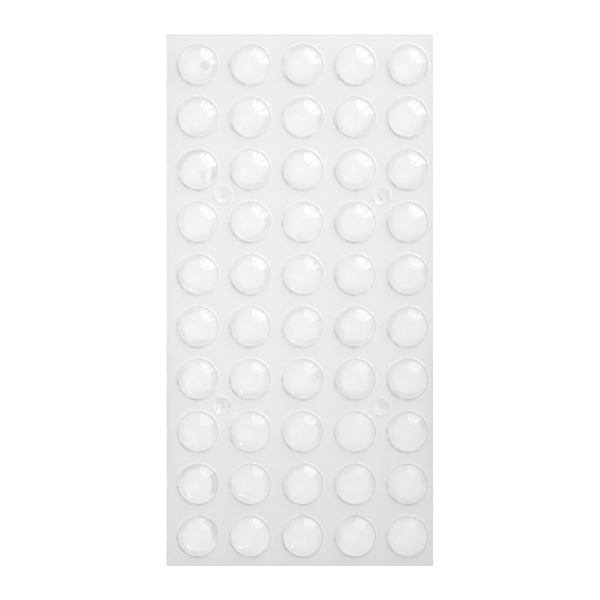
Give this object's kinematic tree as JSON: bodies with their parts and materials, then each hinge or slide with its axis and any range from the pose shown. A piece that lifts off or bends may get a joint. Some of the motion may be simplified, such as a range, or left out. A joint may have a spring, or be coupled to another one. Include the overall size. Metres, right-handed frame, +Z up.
{
  "type": "sheet of cabinet door bumpers",
  "caption": "Flat sheet of clear domed cabinet door bumpers in a grid, each kiss-cut free of the moulded web around it and held on a release liner.",
  "frame": {"origin": "centre of the release liner's underside, which is the bottom centre of the bounding box", "axes": "+Z up out of the domes, +Y along the long side towards row 1, +X along the short side towards column 5"},
  "size_m": [0.0646, 0.1288, 0.0031],
  "materials": {
    "release_liner": "white film, faintly satin",
    "moulded_web": "clear polyurethane, glossy, as moulded",
    "bumper": "clear polyurethane, high gloss"
  },
  "bodies": {
    "root": {"release_liner": "release_liner", "moulded_web": "moulded_web", "bumper_r01_c1": "bumper", "bumper_r01_c2": "bumper", "bumper_r01_c3": "bumper", "bumper_r01_c4": "bumper", "bumper_r01_c5": "bumper", "bumper_r02_c1": "bumper", "bumper_r02_c2": "bumper", "bumper_r02_c3": "bumper", "bumper_r02_c4": "bumper", "bumper_r02_c5": "bumper", "bumper_r03_c1": "bumper", "bumper_r03_c2": "bumper", "bumper_r03_c3": "bumper", "bumper_r03_c4": "bumper", "bumper_r03_c5": "bumper", "bumper_r04_c1": "bumper", "bumper_r04_c2": "bumper", "bumper_r04_c3": "bumper", "bumper_r04_c4": "bumper", "bumper_r04_c5": "bumper", "bumper_r05_c1": "bumper", "bumper_r05_c2": "bumper", "bumper_r05_c3": "bumper", "bumper_r05_c4": "bumper", "bumper_r05_c5": "bumper", "bumper_r06_c1": "bumper", "bumper_r06_c2": "bumper", "bumper_r06_c3": "bumper", "bumper_r06_c4": "bumper", "bumper_r06_c5": "bumper", "bumper_r07_c1": "bumper", "bumper_r07_c2": "bumper", "bumper_r07_c3": "bumper", "bumper_r07_c4": "bumper", "bumper_r07_c5": "bumper", "bumper_r08_c1": "bumper", "bumper_r08_c2": "bumper", "bumper_r08_c3": "bumper", "bumper_r08_c4": "bumper", "bumper_r08_c5": "bumper", "bumper_r09_c1": "bumper", "bumper_r09_c2": "bumper", "bumper_r09_c3": "bumper", "bumper_r09_c4": "bumper", "bumper_r09_c5": "bumper", "bumper_r10_c1": "bumper", "bumper_r10_c2": "bumper", "bumper_r10_c3": "bumper", "bumper_r10_c4": "bumper", "bumper_r10_c5": "bumper"}
  },
  "joints": []
}
